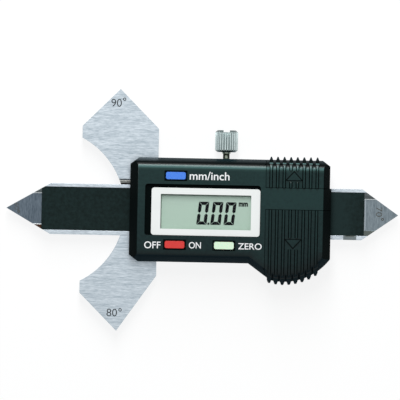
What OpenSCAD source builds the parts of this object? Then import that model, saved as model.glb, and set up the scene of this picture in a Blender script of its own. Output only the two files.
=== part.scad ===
// Digital weld gauge, lying on its back: X along the beam, Y across it, Z up out of the display.
// The origin is the middle of the beam, on its axis, at the back of the slider.

/* [Beam] */
// Length of the beam, tip to tip
beam_len = 123.2; // [118:0.1:150]
// Width of the beam
beam_w = 16; // [14:0.1:18]
// Thickness of the beam
beam_t = 3.2; // [2.8:0.1:4.5]
// Full angle of the left tip
left_tip_angle = 60; // [54:1:75]
// Full angle of the right tip
right_tip_angle = 70; // [60:1:85]
// Width of the bright rail along the upper edge
rail_w = 1.05; // [0.9:0.05:2]
// Width of the bright rail along the lower edge
rail_low = 1.35; // [0.9:0.05:2]
// Depth of the shelf that the label lies on
shelf_depth = 0.35; // [0.3:0.05:0.6]
// Width of the deeper channel for the scale
scale_w = 10; // [7:0.1:10.8]
// Depth of that channel below the shelf
scale_depth = 0.75; // [0.5:0.05:1]
// Bare length at the left tip, up to the label
bare_left = 11.1; // [10:0.1:16]
// Bare length at the right tip, up to the label
bare_right = 10.7; // [9:0.1:16]
// Thickness of the label
label_t = 0.28; // [0.1:0.02:0.3]
// Thickness of the scale strip
strip_t = 0.7; // [0.3:0.05:0.74]
// Length of the ground flat on the lower rail
flat_len = 4.2; // [2:0.1:6]
// Depth of the ground flat
flat_depth = 0.25; // [0.1:0.05:0.5]
// Middle of the ground flat, right of the beam's middle
flat_x = 46.5; // [43:0.1:48]

/* [Cross plate] */
// Distance of both outer corners from the beam's axis
apex_y = 38; // [34:0.1:46]
// Distance of those corners left of the origin
apex_x = 26.35; // [24:0.05:29]
// Distance of the flat horn faces left of the origin
horn_x = 38.1; // [36:0.1:41]
// Distance of the plate's right edge left of the origin
plate_x = 14.1; // [11:0.1:17]
// Angle of the left slopes from the Y axis
left_slope = 45; // [40:1:50]
// Angle of the upper right slope from the Y axis
upper_slope = 45; // [35:1:50]
// Angle of the lower right slope from the Y axis
lower_slope = 35; // [30:1:45]
// Radius of the concave throat
throat_r = 25.3; // [24:0.1:26.5]
// Distance of the throat's centre left of the origin
throat_x = 49.7; // [48:0.1:51]

/* [Slider body] */
// Floor behind the beam
floor_t = 1.8; // [1.4:0.1:3]
// Wall above the gib strip
upper_wall = 6.1; // [5.6:0.1:7]
// Wall below the beam
lower_wall = 7.15; // [6.8:0.05:8]
// Width of the gap that holds the gib strip
gib_gap = 1.8; // [1.5:0.05:2.4]
// Thickness of the gib strip
gib_t = 1.35; // [0.8:0.05:1.4]
// Chamfer on the gib strip's front edges
gib_chamfer = 0.3; // [0.1:0.05:0.35]
// Height of the keeper lips above the slider's front
lip_t = 0.8; // [0.6:0.1:1.2]
// Reach of the keeper lips over each rail
lip_over = 1.1; // [0.6:0.1:1.2]
// Width of the lips' foot on the slider walls
lip_foot = 0.9; // [0.6:0.05:1]
// Length of each keeper lip
lip_len = 4.2; // [3:0.1:4.4]
// Diameter of the stop pin
pin_d = 2; // [1.5:0.1:2.5]
// Reach of the stop pin into the beam
pin_reach = 0.9; // [0.6:0.05:1]
// Place of the stop pin right of the origin
pin_x = 10; // [6:0.5:14]
// Travel of the beam to the left
travel_left = 3.1; // [1:0.1:5]
// Travel of the beam to the right
travel_right = 23.5; // [15:0.1:28]
// Diameter of the gib set screws
set_d = 2.5; // [2:0.1:3]
// Length of the gib set screws
set_len = 4; // [2.5:0.1:5]
// Width and depth of the slots in the set screws
set_slot = 0.6; // [0.4:0.05:1]
// Distance of the left set screw left of the lock screw
set_left = 12; // [8:0.5:16]
// Distance of the right set screw right of the lock screw
set_right = 16; // [8:0.5:20]

/* [Lock screw] */
// Place of the lock screw right of the origin
lock_x = 7.2; // [3:0.1:12]
// Diameter of the knob
knob_d = 7.2; // [6:0.1:8.4]
// Height of the knob
knob_h = 6.9; // [5:0.1:9]
// Gap between the housing and the knob
knob_gap = 2.1; // [1.5:0.1:4]
// Flutes round the knob
knob_flutes = 28; // [18:1:32]
// Radius of each flute
flute_r = 0.26; // [0.15:0.01:0.3]
// Chamfer at both ends of the knob
knob_chamfer = 0.7; // [0.2:0.05:1]
// Width of the slot in the knob
slot_w = 2; // [1:0.1:2.4]
// Depth of the slot in the knob
slot_depth = 0.6; // [0.3:0.05:1.2]
// Diameter of the thread
lock_d = 2.5; // [2.4:0.1:3]
// Diameter of the neck
neck_d = 2.1; // [1.6:0.1:2.3]
// Diameter of the collar under the knob
collar_d = 2.7; // [2.4:0.1:3.6]
// Height of the collar
collar_h = 0.45; // [0.3:0.05:0.8]
// Length of the brass pad
pad_len = 1.3; // [0.8:0.1:2]

/* [Housing] */
// Distance of the housing's left side left of the origin
house_left = 22.8; // [22.2:0.1:24]
// Distance of its right side from the bezel's right end
house_right = 22.25; // [21.35:0.1:27.85]
// Overhang of the housing past the slider body
overhang = 0.8; // [0.4:0.05:1.2]
// Depth of the housing in front of the slider
house_depth = 8.5; // [8.2:0.1:11]
// Wall of the housing
wall = 1.8; // [1.7:0.05:2.2]
// Height at which the sloping sides start
slope_start = 4; // [3.6:0.1:4.6]
// Slope of the left and right sides, seen from the front
side_slope = 2.4; // [1.2:0.1:3]
// Slope of the upper and lower sides, seen from the front
edge_slope = 1.9; // [1:0.1:2.4]
// Rounding of the upper and lower front edges
edge_r = 1.4; // [0.6:0.1:1.5]
// Rounding of the left and right front edges
side_r = 0.5; // [0.3:0.1:1.5]
// Corner cut along the top and bottom
corner_x = 2.8; // [1.5:0.1:4]
// Corner cut along the sides
corner_y = 2.1; // [1:0.1:3]
// Start of the slope down to the grip, left of the bezel's right end
grip_slope_x = 3.45; // [2.15:0.1:4.65]
// Angle of that slope
grip_slope_angle = 36; // [28:1:44]
// Radius of the round grip
grip_r = 18.2; // [17:0.1:19]
// Place of the grip's centre right of the bezel
grip_cx = 7.65; // [6.85:0.1:8.85]
// Reach of the grip below the housing's lower edge
grip_reach = 5.55; // [4.5:0.05:7]
// Floor of the grip
grip_floor = 1.1; // [0.8:0.05:1.2]

/* [Covers] */
// Distance of both covers' left edge from the bezel
cover_x = 1.75; // [1.05:0.1:2.35]
// Upper edge of the cell door
door_y = 1; // [-1:0.1:3]
// Lower edge of the port cover
port_y = 8; // [6:0.1:8.6]
// Wall of the covers
cover_t = 1.4; // [1:0.05:1.5]
// Lower edge of the covers above the slider's front
cover_rise = 2.9; // [2:0.1:3.2]
// Set-back of the right side at the port cover
port_step = 0.45; // [0.1:0.05:0.6]
// Wall of the deck under the covers
deck_t = 1; // [0.8:0.05:1.2]
// Number of ribs on each cover
rib_count = 8; // [5:1:8]
// Spacing of the ribs
rib_pitch = 2.07; // [1.7:0.01:2.1]
// Distance of the first rib from the covers' left edge
rib_first = 1.5; // [1.2:0.05:1.8]
// Width of a rib at its foot
rib_w = 1.1; // [0.8:0.05:1.2]
// Width of a rib at its crest
rib_crest = 0.5; // [0.3:0.05:0.7]
// Height of a rib
rib_h = 0.7; // [0.4:0.05:0.9]
// Height of the teeth on the outer edges
tooth_h = 1; // [0.6:0.05:1.2]
// Width of the upper teeth at their foot
upper_tooth = 1.1; // [0.8:0.05:1.6]
// Width of the upper teeth at their tips
upper_tip = 0.3; // [0.2:0.05:0.7]
// Width of the lower teeth at their foot
lower_tooth = 1.45; // [0.8:0.05:1.6]
// Width of the lower teeth at their tips
lower_tip = 0.65; // [0.3:0.05:0.75]
// Width of the arrows
arrow_w = 4.5; // [3:0.1:6]
// Height of the arrows
arrow_h = 2.5; // [2:0.1:4]
// Height of the arrows above the covers
arrow_rise = 0.45; // [0.2:0.05:0.7]
// Distance of the upper arrow's base from the port cover's edge
arrow_up = 2.4; // [1.8:0.1:3]
// Distance of the lower arrow's base from the door's edge
arrow_down = 9.3; // [6:0.1:11]
// Reach of the tongues that guide the covers
tongue = 0.5; // [0.3:0.05:0.6]
// Thickness of the tongues
tongue_t = 0.5; // [0.4:0.05:0.6]
// Length of the cell door's tongues
door_tongue = 12; // [8:0.5:14]
// Length of the port cover's tongues
port_tongue = 4.5; // [3:0.1:5]

/* [Display] */
// Left edge of the view, left of the origin
view_left = 13.1; // [11:0.1:13.5]
// Length of the view
view_len = 28.4; // [24:0.1:29]
// Height of the view
view_h = 10.9; // [9:0.1:11.2]
// Drop of the view's middle below the beam's axis
view_drop = 0.15; // [0:0.05:0.4]
// Width of the bezel at its left
bezel_left = 2.9; // [2.4:0.1:3.3]
// Width of the bezel at its right
bezel_right = 2.85; // [2.2:0.05:3]
// Width of the bezel above and below the view
bezel_h = 2; // [1.9:0.05:2.4]
// Corner radius of the bezel
bezel_r = 0.9; // [0.5:0.1:1.2]
// Thickness of the bezel's flange
flange_t = 0.7; // [0.5:0.05:0.8]
// Black margin left of the bezel
margin_left = 2.05; // [0.5:0.05:2.1]
// Black margin above the bezel
margin_top = 1.15; // [0.3:0.05:1.2]
// Depth of the recess round the bezel
recess_depth = 1; // [0.8:0.05:1.2]
// Wall of the bezel's skirt
skirt_t = 0.6; // [0.4:0.05:0.7]
// Hidden margin of the panel all round the view
panel_margin = 0.65; // [0.4:0.05:0.7]
// Thickness of the window
window_t = 0.8; // [0.5:0.1:1]
// Thickness of the panel
panel_t = 1.8; // [1.2:0.1:2.2]
// Width of the contact strips
zebra_w = 1.4; // [1:0.1:2]

/* [Keys] */
// Length of each key
key_len = 6.2; // [5:0.1:7]
// Height of each key
key_h = 2.3; // [2:0.1:2.6]
// Corner radius of each key
key_r = 0.6; // [0.3:0.1:0.9]
// Rise of the keys above the face
key_rise = 0.5; // [0.3:0.05:0.8]
// Travel of the keys
key_travel = 0.6; // [0.4:0.05:0.8]
// Rim of the keys below the face
key_rim = 0.5; // [0.3:0.05:0.6]
// Thickness of the rim
key_rim_t = 0.8; // [0.5:0.1:1]
// Place of the left keys, left of the origin
key_left = 8.5; // [7:0.1:9.5]
// Place of the right key, right of the origin
key_right = 7; // [5:0.1:9]
// Gap between the bezel recess and the upper key
key_gap_up = 1.5; // [1:0.05:1.6]
// Gap between the bezel recess and the lower keys
key_gap_down = 1.7; // [1:0.05:1.75]
// Height of a snap dome
dome_h = 0.4; // [0.3:0.05:0.5]
// Diameter of a snap dome
dome_d = 3.4; // [2.5:0.1:4]

/* [Inside] */
// Thickness of the circuit board
board_t = 0.8; // [0.6:0.1:1]
// Left end of the board, left of the origin
board_left = 15.5; // [14.8:0.1:15.6]
// Distance of the board's right end from the bezel
board_right = 14.35; // [14.15:0.1:15.25]
// Height of the board
board_h = 25.6; // [25.4:0.1:26.4]
// Diameter of the chip's cap
chip_d = 8; // [5:0.1:8.4]
// Height of the chip's cap
chip_h = 1.3; // [0.8:0.1:2]
// Diameter of the cell
cell_d = 11.6; // [11:0.1:11.7]
// Thickness of the cell
cell_t = 5.4; // [4.2:0.1:5.4]
// Place of the cell right of the bezel
cell_x = 7.75; // [7.45:0.1:7.85]
// Distance of the cell below the beam's axis
cell_y = 9.9; // [9:0.1:10.5]
// Thickness of the contact metal
contact_t = 0.2; // [0.15:0.01:0.25]
// Width of the contacts
contact_w = 3; // [2:0.1:3.4]
// Depth of the side contact's end below the cell's front
clip_drop = 1.1; // [0.5:0.1:2]
// Rise of the spring contact
spring_rise = 0.2; // [0.1:0.02:0.24]
// Wall of the cup round the cell
cup_t = 0.9; // [0.7:0.05:1]
// Length of the data port
socket_len = 10; // [8:0.1:11]
// Width of the data port
socket_w = 3; // [2.4:0.1:3.2]
// Height of the data port
socket_h = 4.4; // [3:0.1:4.4]
// Wall of the data port beside its holes
socket_wall = 0.75; // [0.5:0.05:0.9]
// Depth of the pins below the data port's front
pin_drop = 0.9; // [0.3:0.1:1.5]
// Place of the data port right of the bezel
socket_x = 8.85; // [7.85:0.1:9.05]
// Number of pins in the port
pin_count = 4; // [3:1:5]
// Spacing of the port's pins
pin_pitch = 2; // [1.6:0.1:2.2]
// Width of a port pin
port_pin_w = 0.6; // [0.4:0.05:0.8]
// Diameter of the housing screws
screw_d = 2; // [1.6:0.1:2.2]
// Diameter of their heads
head_d = 3.6; // [3.2:0.1:3.8]
// Height of their heads
head_h = 1.4; // [1:0.1:2]
// Length of the cross recess in the heads
cross_len = 2.4; // [1.6:0.1:2.6]
// Width of the cross recess
cross_w = 0.6; // [0.4:0.05:0.8]
// Depth of the cross recess
cross_depth = 0.7; // [0.4:0.05:0.8]
// Depth of the heads below the back
head_drop = 0.2; // [0.1:0.05:0.4]
// Reach of the screws into the housing
screw_reach = 3.8; // [2.5:0.1:4]
// Diameter of the screw bosses
boss_d = 4; // [3.6:0.1:4.2]
// Place of the left screws, left of the origin
screw_left = 17.9; // [17.8:0.1:18.2]
// Place of the right screws, right of the bezel
screw_right = 17.75; // [17.45:0.1:18.05]
// Distance of the screws from the beam's axis
screw_y = 12.9; // [12.8:0.05:13]

/* [Hidden] */
// Clearance of the running faces
slide_gap = 0.05;
// Clearance of fitted pieces that do not move
fit_gap = 0.1;
// Gap round the covers
cover_gap = 0.15;
// Gap round the keys
key_gap = 0.15;
// Radial clearance of the lock screw's thread
thread_gap = 0.04;
// Height of the knob above the back
knob_lift = 0.15;
// Room over the beam under the housing's end walls
beam_room = 0.3;
// Overlap of solids that are joined, and overrun of cuts
lap = 1;
// Longer than the part in any direction
far = 200;
// Reach of the housing's lower edge past the start of the grip's slope, inside the grip
grip_join = 4.3;
// Drop of the bevel along the grip's slope below the other bevels
slope_drop = 0.4;
// Straight pieces in a rounded edge
arc_steps = 5;
// Corner radius of the display window and its opening
window_r = 0.2;
$fn = 96;

// Heights, from the back to the front
beam_z = floor_t + slide_gap;
beam_front = beam_z + beam_t;
plate_z = beam_front + slide_gap;
board_top = plate_z + board_t;
slope_z = plate_z + slope_start;
face_z = plate_z + house_depth;
ceiling_z = face_z - wall;
recess_z = face_z - recess_depth;
window_z = recess_z - window_t;
panel_z = window_z - slide_gap - panel_t;
cover_z = plate_z + cover_rise;
lock_z = knob_d / 2 + knob_lift;
mid_z = beam_z + beam_t / 2;

// Places right of the display, from the bezel's right end
bezel_end = view_len - view_left + bezel_right;
house_end = bezel_end + house_right;
body_right = house_end - overhang;
slope_foot = bezel_end - grip_slope_x;
grip_mid = bezel_end + grip_cx;
cover_left = bezel_end + cover_x;
board_end = bezel_end + board_right;
cell_mid = bezel_end + cell_x;
socket_mid = bezel_end + socket_x;

// Places across the beam
half_w = beam_w / 2;
channel_low = -half_w - slide_gap;
channel_high = half_w + gib_gap;
body_top = channel_high + upper_wall;
body_low = channel_low - lower_wall;
house_top = body_top + overhang;
house_low = body_low - overhang;
gib_low = half_w + 3 * slide_gap;
gib_back = gib_low + gib_t;
grip_cy = house_low - grip_reach + grip_r;

// Display outlines as [left, right, low, high]
view = [-view_left, view_len - view_left, -view_drop - view_h / 2, -view_drop + view_h / 2];
panel = grown(view, panel_margin);
skirt = grown(panel, fit_gap + skirt_t);
flange = [view[0] - bezel_left, bezel_end, view[2] - bezel_h, view[3] + bezel_h];
recess = [flange[0] - margin_left, flange[1] + fit_gap, flange[2] - fit_gap, flange[3] + margin_top];
unit_key = [-key_left, recess[3] + key_gap_up + key_h / 2];
power_key = [-key_left, recess[2] - key_gap_down - key_h / 2];
zero_key = [key_right, power_key.y];
keys = [unit_key, power_key, zero_key];

// Pieces round the screws, the cell and the port
screws = [
    for (x = [-screw_left, bezel_end + screw_right])
        for (y = [-screw_y, screw_y])
            [x, y]
];
cell_z = board_top + contact_t + spring_rise + slide_gap;
cell_room = cell_d / 2 + 3 * fit_gap;
socket_y = board_h / 2 - socket_w / 2 - fit_gap;
ribs = [for (i = [0 : rib_count - 1]) cover_left + rib_first + i * rib_pitch];
rib_mid = (ribs[0] + ribs[rib_count - 1]) / 2;
up_base = port_y + arrow_up;
down_base = door_y - arrow_down;

function grown(r, d) = [r[0] - d, r[1] + d, r[2] - d, r[3] + d];
function unit(v) = v / norm(v);

// A corner of a counter-clockwise outline, moved inward by d
function inset_corner(a, p, b, d) =
    let (
        e = unit(p - a),
        f = unit(b - p),
        m = [e.y, -e.x],
        n = [f.y, -f.x],
        det = m.x * n.y - m.y * n.x,
        c = m * p - d,
        k = n * p - d
    )
    [(c * n.y - k * m.y) / det, (m.x * k - n.x * c) / det];

function inset(pts, d) =
    let (n = len(pts))
    [for (i = [0 : n - 1]) inset_corner(pts[(i + n - 1) % n], pts[i], pts[(i + 1) % n], d)];

// An arc in place of the corner p between a and b
function arc_corner(a, p, b, r) =
    let (
        u = unit(a - p),
        v = unit(b - p),
        half = acos(u * v) / 2,
        c = p + unit(u + v) * r / sin(half),
        s = p + u * r / tan(half) - c,
        e = p + v * r / tan(half) - c,
        start = atan2(s.y, s.x),
        sweep = atan2(s.x * e.y - s.y * e.x, s * e)
    )
    [
        for (k = [0 : arc_steps])
            let (angle = start + sweep * k / arc_steps)
                c + r * [cos(angle), sin(angle)]
    ];

// Both ends of a bevel from a height, as distance outward from the wall and height, inset by d
function bevel(d, slope, start) =
    let (h = face_z - start, slant = norm([h, slope]))
    [
        [-d, start - d * (slant - h) / slope],
        [-slope - d * (slant - slope) / h, face_z - d]
    ];

// Points up a bevelled side, with a rounded front edge unless it is an inner one
function side(d, slope, r) =
    let (b = bevel(d, slope, slope_z))
    d > 0 ? b : concat([b[0]], arc_corner(b[0], b[1], b[1] - [lap, 0], r - d));

// Section of a block with two sloping sides
function section(lo, hi, d, z0, slope, r) =
    let (s = side(d, slope, r), n = len(s))
    concat(
        [[lo + d, z0], [hi - d, z0]],
        [for (p = s) [hi + p.x, p.y]],
        [for (i = [n - 1 : -1 : 0]) [lo - s[i].x, s[i].y]]
    );

// Half the section of the round grip
function grip_section(d, z0) =
    concat(
        [[0, z0], [grip_r - d, z0]],
        [for (p = side(d, edge_slope, edge_r)) [grip_r + p.x, p.y]],
        [[0, face_z - d]]
    );

// Section across the grip's slope, which runs on past the back and the face
function slope_section(hi, d) =
    let (b = bevel(d, edge_slope, slope_z - slope_drop), top = 2 * b[1] - b[0])
    [[-far, 0], [hi - d, 0], [hi + b[0].x, b[0].y], [hi + top.x, top.y], [-far, top.y]];

module plate2d(r, corner) {
    translate([r[0] + corner, r[2]]) square([r[1] - r[0] - 2 * corner, r[3] - r[2]]);
    translate([r[0], r[2] + corner]) square([r[1] - r[0], r[3] - r[2] - 2 * corner]);
    for (x = [r[0] + corner, r[1] - corner])
        for (y = [r[2] + corner, r[3] - corner])
            translate([x, y]) circle(r = corner);
}

module box(r, z0, z1) {
    translate([r[0], r[2], z0]) cube([r[1] - r[0], r[3] - r[2], z1 - z0]);
}

// A cylinder along +Y from y0 to y1
module rod(x, z, d, y0, y1) {
    translate([x, y0, z]) rotate([-90, 0, 0]) cylinder(d = d, h = y1 - y0);
}

// Beam and what is glued to it

module beam2d(short) {
    tip = beam_len / 2 - short;
    polygon([
        [-tip, 0],
        [-tip + half_w / tan(left_tip_angle / 2), -half_w],
        [tip - half_w / tan(right_tip_angle / 2), -half_w],
        [tip, 0],
        [tip - half_w / tan(right_tip_angle / 2), half_w],
        [-tip + half_w / tan(left_tip_angle / 2), half_w]
    ]);
}

module beam() {
    flat_r = (flat_len * flat_len / 4 + flat_depth * flat_depth) / (2 * flat_depth);
    slot_low = pin_x - travel_right - pin_d / 2 - slide_gap;
    slot_high = pin_x + travel_left + pin_d / 2 + slide_gap;
    slot_half = pin_d / 2 + fit_gap;
    color("lightgray") difference() {
        translate([0, 0, beam_z]) linear_extrude(beam_t) beam2d(0);
        box([-far, far, rail_low - half_w, half_w - rail_w], beam_front - shelf_depth, face_z);
        box([-far, far, -scale_w / 2, scale_w / 2], beam_front - shelf_depth - scale_depth, face_z);
        box([slot_low, slot_high, -slot_half, slot_half], 0, beam_z + pin_reach + fit_gap);
        rod(flat_x, beam_front + flat_r - flat_depth, 2 * flat_r, -half_w - lap, rail_low - half_w);
    }
}

module scale_strip() {
    z = beam_front - shelf_depth - scale_depth;
    side_y = scale_w / 2 - slide_gap;
    color("darkgreen")
        box([bare_left - beam_len / 2, beam_len / 2 - bare_right, -side_y, side_y], z, z + strip_t);
}

module beam_label() {
    z = beam_front - shelf_depth;
    low = rail_low - half_w + slide_gap;
    high = half_w - rail_w - slide_gap;
    color([0.12, 0.16, 0.16]) intersection() {
        box([bare_left - beam_len / 2, beam_len / 2 - bare_right, low, high], z, z + label_t);
        linear_extrude(face_z) beam2d(fit_gap);
    }
}

// Slider and the pieces in its channel

module cross2d() {
    horn_y = apex_y - (horn_x - apex_x) / tan(left_slope);
    upper_y = apex_y - (apex_x - plate_x) / tan(upper_slope);
    lower_y = apex_y - (apex_x - plate_x) / tan(lower_slope);
    difference() {
        polygon([
            [-horn_x, -horn_y],
            [-apex_x, -apex_y],
            [-plate_x, -lower_y],
            [-plate_x, upper_y],
            [-apex_x, apex_y],
            [-horn_x, horn_y]
        ]);
        translate([-throat_x, 0]) circle(r = throat_r, $fn = 180);
    }
}

module lips() {
    left = wall + fit_gap - house_left;
    right = house_end - wall - fit_gap - lip_len;
    for (x = [left, right]) {
        box([x, x + lip_len, half_w - lip_over, channel_high + lip_foot], plate_z, plate_z + lip_t);
        box([x, x + lip_len, channel_low - lip_foot - gib_gap, lip_over - half_w], plate_z, plate_z + lip_t);
    }
}

module slider_frame() {
    color("silver") difference() {
        union() {
            difference() {
                linear_extrude(plate_z) {
                    cross2d();
                    polygon([
                        [-plate_x - lap, body_low],
                        [body_right - corner_x, body_low],
                        [body_right, body_low + corner_y],
                        [body_right, body_top - corner_y],
                        [body_right - corner_x, body_top],
                        [-plate_x - lap, body_top]
                    ]);
                }
                box([-far, far, channel_low, channel_high], floor_t, far);
            }
            lips();
        }
        for (p = screws) {
            translate([p.x, p.y, -lap]) cylinder(d = screw_d + 2 * fit_gap, h = far);
            translate([p.x, p.y, -lap]) cylinder(d = head_d + 2 * fit_gap, h = lap + head_drop + head_h);
        }
        translate([pin_x, 0, -lap]) cylinder(d = pin_d, h = far);
        rod(lock_x, lock_z, lock_d + 2 * thread_gap, channel_high - lap, body_top + lap);
        for (x = [lock_x - set_left, lock_x + set_right])
            rod(x, mid_z, set_d, channel_high - lap, body_top + lap);
    }
}

module gib_strip() {
    low = floor_t + slide_gap;
    high = beam_front;
    c = gib_chamfer;
    color("gray") difference() {
        rotate([90, 0, 90]) translate([0, 0, -far / 2]) linear_extrude(far / 2 + body_right)
            polygon([
                [gib_low, low],
                [gib_back, low],
                [gib_back, high - c],
                [gib_back - c, high],
                [gib_low + c, high],
                [gib_low, high - c]
            ]);
        translate([-throat_x, 0, 0]) cylinder(r = throat_r, h = far, $fn = 180);
        translate([-far - throat_x, -far / 2, 0]) cube([far, far, far]);
    }
}

module gib_screws() {
    color("dimgray") for (x = [lock_x - set_left, lock_x + set_right])
        difference() {
            rod(x, mid_z, set_d, gib_back, gib_back + set_len);
            translate([x - set_d, gib_back + set_len - set_slot, mid_z - set_slot / 2])
                cube([2 * set_d, set_d, set_slot]);
        }
}

module stop_pin() {
    color("gray") translate([pin_x, 0, head_drop]) cylinder(d = pin_d, h = beam_z + pin_reach - head_drop);
}

// Lock

module lock_pad() {
    color("goldenrod") rod(lock_x, lock_z, neck_d, gib_back + slide_gap, gib_back + slide_gap + pad_len);
}

module knob() {
    r = knob_d / 2;
    c = knob_chamfer;
    difference() {
        intersection() {
            linear_extrude(knob_h) difference() {
                circle(r = r);
                for (i = [0 : knob_flutes - 1])
                    rotate(i * 360 / knob_flutes) translate([r, 0]) circle(r = flute_r, $fn = 16);
            }
            rotate_extrude()
                polygon([[0, 0], [r - c, 0], [r, c], [r, knob_h - c], [r - c, knob_h], [0, knob_h]]);
        }
        translate([-slot_w / 2, -knob_d, knob_h - slot_depth]) cube([slot_w, 2 * knob_d, knob_h]);
    }
}

module lock_screw() {
    thread_start = gib_back + slide_gap + pad_len;
    knob_y = house_top + knob_gap;
    color("darkgray") union() {
        rod(lock_x, lock_z, lock_d, thread_start, body_top);
        rod(lock_x, lock_z, neck_d, body_top - lap, knob_y + lap);
        rod(lock_x, lock_z, collar_d, knob_y - collar_h, knob_y + lap);
        translate([lock_x, knob_y, lock_z]) rotate([-90, 0, 0]) knob();
    }
}

// Housing

// Outline of the housing without the round grip
main_outline = [
    [corner_x - house_left, house_low],
    [slope_foot + grip_join, house_low],
    [slope_foot + grip_join, 0],
    [house_end, 0],
    [house_end, house_top - corner_y],
    [house_end - corner_x, house_top],
    [corner_x - house_left, house_top],
    [-house_left, house_top - corner_y],
    [-house_left, house_low + corner_y]
];

// The housing's outer form, inset by d and starting at height z0
module form(d, z0) {
    normal = 270 - grip_slope_angle;
    reach = [cos(normal), sin(normal)] * [slope_foot, house_low];
    intersection() {
        rotate([90, 0, 0]) linear_extrude(far, center = true)
            polygon(section(-house_left, house_end, d, z0, side_slope, side_r));
        union() {
            intersection() {
                linear_extrude(far) polygon(inset(main_outline, d));
                rotate([90, 0, 90]) linear_extrude(far, center = true)
                    polygon(section(house_low, house_top, d, z0, edge_slope, edge_r));
            }
            intersection() {
                translate([grip_mid, grip_cy, 0]) rotate_extrude($fn = 180)
                    polygon(grip_section(d, z0));
                rotate([0, 0, normal]) rotate([90, 0, 0]) linear_extrude(far, center = true)
                    polygon(slope_section(reach, d));
            }
        }
    }
}

// The room of each cover, grown by g
module door_zone(g) {
    box([cover_left - g, far, -far, door_y + g], cover_z - g, far);
}

module port_zone(g) {
    box([cover_left - g, far, port_y - g, far], cover_z - g, far);
}

// Tongues that guide a cover along Y, grown by g to cut their grooves
module tongues(y0, y1, g) {
    z = face_z - wall / 2;
    low = cover_z + tongue_t;
    box([cover_left - tongue - g, cover_left + lap, y0 - g, y1 + g], z - tongue_t / 2 - g, z + tongue_t / 2 + g);
    right = house_end - cover_t;
    box([right - tongue - g, right + g, y0 - g, y1 + g], low - g, low + tongue_t + g);
}

module shell() {
    difference() {
        form(0, plate_z);
        difference() {
            form(wall, plate_z - lap);
            box([-far, far, -far, body_low + overhang], 0, plate_z + grip_floor);
        }
        door_zone(cover_gap);
        port_zone(cover_gap);
        box([house_end - port_step, far, port_y - cover_gap, far], 0, far);
    }
}

// Recessed wall under the covers
module deck() {
    d = cover_t + cover_gap;
    intersection() {
        difference() {
            form(d, plate_z);
            form(d + deck_t, plate_z - lap);
        }
        union() {
            door_zone(deck_t);
            port_zone(deck_t);
        }
    }
}

// Screw bosses with webs to the walls, and the cup round the cell
module inner_walls() {
    intersection() {
        form(cover_t + cover_gap, plate_z);
        union() {
            for (p = screws) {
                translate([p.x, p.y, plate_z]) cylinder(d = boss_d, h = screw_reach + lap);
                web = [p.x - boss_d / 4, p.x + boss_d / 4, min(p.y, 2 * p.y), max(p.y, 2 * p.y)];
                box(web, plate_z, plate_z + screw_reach + lap);
            }
            translate([cell_mid, -cell_y, board_top + fit_gap]) cylinder(r = cell_room + cup_t, h = far);
        }
    }
}

module front_housing() {
    cup = cell_room + cup_t;
    clip_slot = [cell_mid, cell_mid + cup, -cell_y - contact_w / 2, contact_w / 2 - cell_y];
    color([0.17, 0.21, 0.21]) difference() {
        union() {
            shell();
            deck();
            inner_walls();
        }
        translate([0, 0, recess_z]) linear_extrude(far) plate2d(recess, bezel_r);
        translate([0, 0, plate_z + lap]) linear_extrude(far) plate2d(grown(skirt, fit_gap), bezel_r);
        for (k = keys)
            translate([k.x, k.y, plate_z]) linear_extrude(far) plate2d(key_area(key_gap), key_r + key_gap);
        for (p = screws)
            translate([p.x, p.y, 0]) cylinder(d = screw_d, h = plate_z + screw_reach);
        translate([cell_mid, -cell_y, board_top]) cylinder(r = cell_room, h = far);
        box(grown(clip_slot, fit_gap), 0, ceiling_z);
        box(grown(socket_area(), 2 * fit_gap), plate_z, far);
        box([-far, far, -half_w - beam_room, half_w + beam_room], 0, plate_z + beam_room);
        tongues(-far, door_y, fit_gap);
        tongues(port_y, far, fit_gap);
    }
}

module housing_screws() {
    color("dimgray") for (p = screws)
        translate([p.x, p.y, 0]) difference() {
            union() {
                translate([0, 0, head_drop]) cylinder(d = head_d, h = head_h);
                translate([0, 0, head_drop]) cylinder(d = screw_d, h = plate_z + screw_reach - head_drop);
            }
            for (turn = [0, 90])
                rotate(turn) translate([-cross_len / 2, -cross_w / 2, 0])
                    cube([cross_len, cross_w, head_drop + cross_depth]);
        }
}

// Covers

// One rib along Y between two heights on the face
module rib(x, y0, y1) {
    translate([x, y1, face_z]) rotate([90, 0, 0]) linear_extrude(y1 - y0)
        polygon([
            [-rib_w / 2, -lap],
            [rib_w / 2, -lap],
            [rib_w / 2, 0],
            [rib_crest / 2, rib_h],
            [-rib_crest / 2, rib_h],
            [-rib_w / 2, 0]
        ]);
}

// One tooth on an outer edge at y, pointing up or down
module tooth(x, y, way, foot, tip) {
    inner = edge_slope + lap;
    translate([0, 0, cover_z]) linear_extrude(face_z - cover_z)
        polygon([
            [x - foot / 2, y - way * inner],
            [x + foot / 2, y - way * inner],
            [x + foot / 2, y],
            [x + tip / 2, y + way * tooth_h],
            [x - tip / 2, y + way * tooth_h],
            [x - foot / 2, y]
        ]);
}

module arrow(base, way) {
    translate([rib_mid, base, face_z - lap / 2]) linear_extrude(arrow_rise + lap / 2)
        polygon([[-way * arrow_w / 2, 0], [way * arrow_w / 2, 0], [0, way * arrow_h]]);
}

// Lower edge of the round grip at x
function grip_edge(x) = grip_cy - sqrt(grip_r * grip_r - (x - grip_mid) * (x - grip_mid));

// Whether a rib at x runs into the arrow
function at_arrow(x) = abs(x - rib_mid) < arrow_w / 2 - rib_w / 2;

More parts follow.
